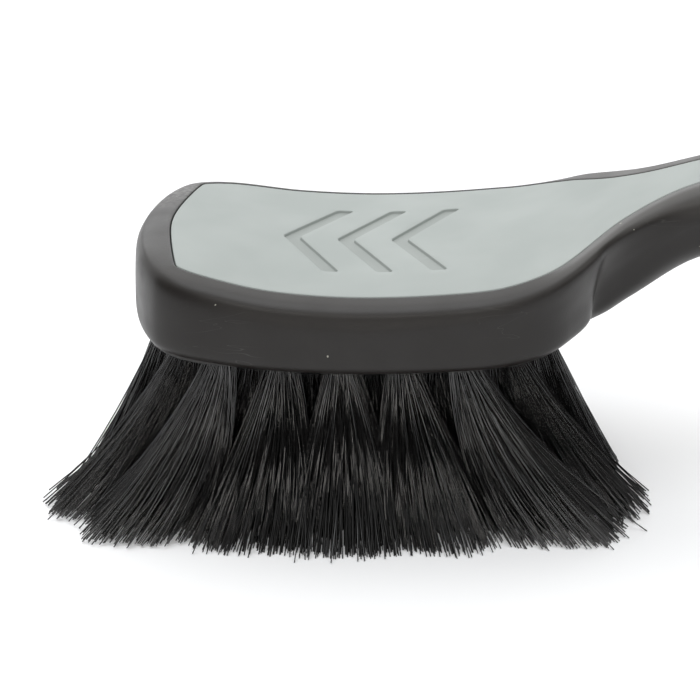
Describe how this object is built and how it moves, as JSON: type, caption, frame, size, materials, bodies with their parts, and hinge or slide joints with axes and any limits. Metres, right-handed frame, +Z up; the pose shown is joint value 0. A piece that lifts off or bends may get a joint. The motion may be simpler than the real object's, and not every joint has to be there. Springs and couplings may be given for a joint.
{
  "type": "wheel brush",
  "caption": "Short-handled wheel brush: flared filament tufts wired into an oblong head, a soft dark overmould, and a soft inset panel along the dished top.",
  "frame": {"origin": "middle of the bottom of the bounding box, on the surface the filament tips stand on", "axes": "+X from the nose of the head to the end of the handle, +Z up from the filament tips to the inset panel, +Y completes a right-handed frame"},
  "size_m": [0.231, 0.0926, 0.081],
  "materials": {
    "core": "moulded hard plastic, satin",
    "overmould": "soft-touch elastomer, satin, lightly dusted and scuffed",
    "inlay": "soft-touch elastomer, fine matte grain",
    "filament": "drawn plastic filament, glossy",
    "anchor": "flat drawn wire, plain"
  },
  "bodies": {
    "root": {"core": "core", "grip_overmould": "overmould", "top_inlay": "inlay", "tuft_r1_1": "filament", "anchor_r1_1": "anchor", "tuft_r1_2": "filament", "anchor_r1_2": "anchor", "tuft_r1_3": "filament", "anchor_r1_3": "anchor", "tuft_r1_4": "filament", "anchor_r1_4": "anchor", "tuft_r1_5": "filament", "anchor_r1_5": "anchor", "tuft_r2_1": "filament", "anchor_r2_1": "anchor", "tuft_r2_2": "filament", "anchor_r2_2": "anchor", "tuft_r2_3": "filament", "anchor_r2_3": "anchor", "tuft_r2_4": "filament", "anchor_r2_4": "anchor", "tuft_r2_5": "filament", "anchor_r2_5": "anchor", "tuft_r2_6": "filament", "anchor_r2_6": "anchor", "tuft_r3_1": "filament", "anchor_r3_1": "anchor", "tuft_r3_2": "filament", "anchor_r3_2": "anchor", "tuft_r3_3": "filament", "anchor_r3_3": "anchor", "tuft_r3_4": "filament", "anchor_r3_4": "anchor", "tuft_r3_5": "filament", "anchor_r3_5": "anchor", "tuft_r3_6": "filament", "anchor_r3_6": "anchor", "tuft_r4_1": "filament", "anchor_r4_1": "anchor", "tuft_r4_2": "filament", "anchor_r4_2": "anchor", "tuft_r4_3": "filament", "anchor_r4_3": "anchor", "tuft_r4_4": "filament", "anchor_r4_4": "anchor", "tuft_r4_5": "filament", "anchor_r4_5": "anchor", "tuft_r4_6": "filament", "anchor_r4_6": "anchor", "tuft_r5_1": "filament", "anchor_r5_1": "anchor", "tuft_r5_2": "filament", "anchor_r5_2": "anchor", "tuft_r5_3": "filament", "anchor_r5_3": "anchor", "tuft_r5_4": "filament", "anchor_r5_4": "anchor", "tuft_r5_5": "filament", "anchor_r5_5": "anchor"}
  },
  "joints": []
}
